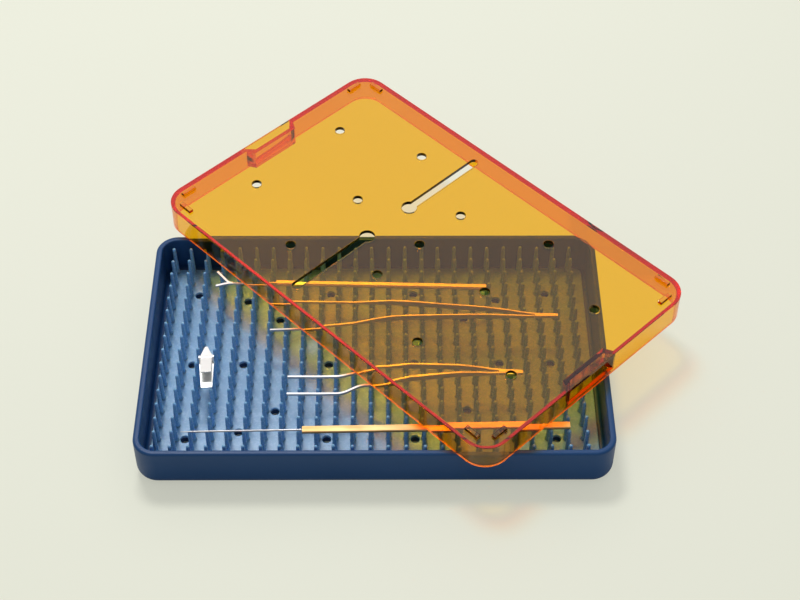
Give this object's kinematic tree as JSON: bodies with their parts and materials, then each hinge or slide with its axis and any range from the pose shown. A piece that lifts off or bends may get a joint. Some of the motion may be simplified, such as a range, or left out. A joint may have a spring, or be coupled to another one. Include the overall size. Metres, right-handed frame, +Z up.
{
  "type": "instrument cassette",
  "caption": "Moulded instrument cassette: drained tray with a silicone finger mat carrying fine instruments, clear amber lid lying askew on the rim.",
  "frame": {"origin": "middle of the tray's flat underside, on the table", "axes": "+Z up, +X along the tray's long side, +Y away from the side that faces the user"},
  "size_m": [0.2951, 0.2894, 0.0443],
  "materials": {
    "tray": "moulded, satin to gloss, deep blue",
    "mat": "silicone, soft sheen, grey blue",
    "lid": "clear amber, polished",
    "steel": "satin stainless",
    "gilt": "satin, gold coloured",
    "nickel": "bright, pale"
  },
  "bodies": {
    "tray": {"base_tray": "tray"},
    "mat": {"mat_row_1": "mat", "mat_row_2": "mat", "mat_row_3": "mat", "mat_row_4": "mat", "mat_row_5": "mat", "mat_row_6": "mat", "mat_row_7": "mat", "mat_row_8": "mat", "mat_row_9": "mat", "mat_row_10": "mat", "mat_row_11": "mat", "mat_row_12": "mat", "mat_row_13": "mat", "mat_row_14": "mat", "mat_row_15": "mat", "mat_row_16": "mat"},
    "lid": {"lid": "lid"},
    "fork": {"fork_handle": "steel", "fork_tip": "steel"},
    "plain_forceps": {"plain_far_leg": "steel"},
    "plain_leg": {"plain_near_leg": "steel"},
    "bayonet_forceps": {"bayonet_far_leg": "steel"},
    "bayonet_leg": {"bayonet_near_leg": "steel"},
    "probe": {"probe_handle": "gilt", "probe_shaft": "steel"},
    "clip": {"clip_lower_arm": "nickel", "clip_pin": "steel"},
    "clip_arm": {"clip_upper_arm": "nickel"}
  },
  "joints": [
    {"name": "lid_lift", "type": "slide", "parent": "tray", "child": "lid", "axis": [0, 0, 1], "range_m": [0, 0.12]},
    {"name": "mat_lift", "type": "slide", "parent": "tray", "child": "mat", "axis": [0, 0, 1], "range_m": [0, 0.03]},
    {"name": "fork_lift", "type": "slide", "parent": "mat", "child": "fork", "axis": [0, 0, 1], "range_m": [0, 0.036]},
    {"name": "plain_forceps_lift", "type": "slide", "parent": "mat", "child": "plain_forceps", "axis": [0, 0, 1], "range_m": [0, 0.036]},
    {"name": "bayonet_forceps_lift", "type": "slide", "parent": "mat", "child": "bayonet_forceps", "axis": [0, 0, 1], "range_m": [0, 0.036]},
    {"name": "probe_lift", "type": "slide", "parent": "mat", "child": "probe", "axis": [0, 0, 1], "range_m": [0, 0.036]},
    {"name": "clip_lift", "type": "slide", "parent": "mat", "child": "clip", "axis": [0, 0, 1], "range_m": [0, 0.05]},
    {"name": "plain_squeeze", "type": "hinge", "parent": "plain_forceps", "child": "plain_leg", "pos_m": [0.08794, 0.01656, 0.02545], "axis": [0, 0, 1], "range_deg": [-7, 0], "stiffness_Nm_per_rad": 0.5},
    {"name": "bayonet_squeeze", "type": "hinge", "parent": "bayonet_forceps", "child": "bayonet_leg", "pos_m": [0.06614, -0.02451, 0.02545], "axis": [0, 0, 1], "range_deg": [-5, 0], "stiffness_Nm_per_rad": 0.5},
    {"name": "clip_open", "type": "hinge", "parent": "clip", "child": "clip_arm", "pos_m": [-0.09181, -0.01401, 0.0271], "axis": [0.9973, 0.0732, 0], "range_deg": [0, 16], "stiffness_Nm_per_rad": 0.05}
  ],
  "couplings": [
    {"joint": "mat_lift", "follows": "lid_lift", "ratio": 0.25},
    {"joint": "fork_lift", "follows": "lid_lift", "ratio": 0.3},
    {"joint": "plain_forceps_lift", "follows": "lid_lift", "ratio": 0.3},
    {"joint": "bayonet_forceps_lift", "follows": "lid_lift", "ratio": 0.3},
    {"joint": "probe_lift", "follows": "lid_lift", "ratio": 0.3}
  ]
}
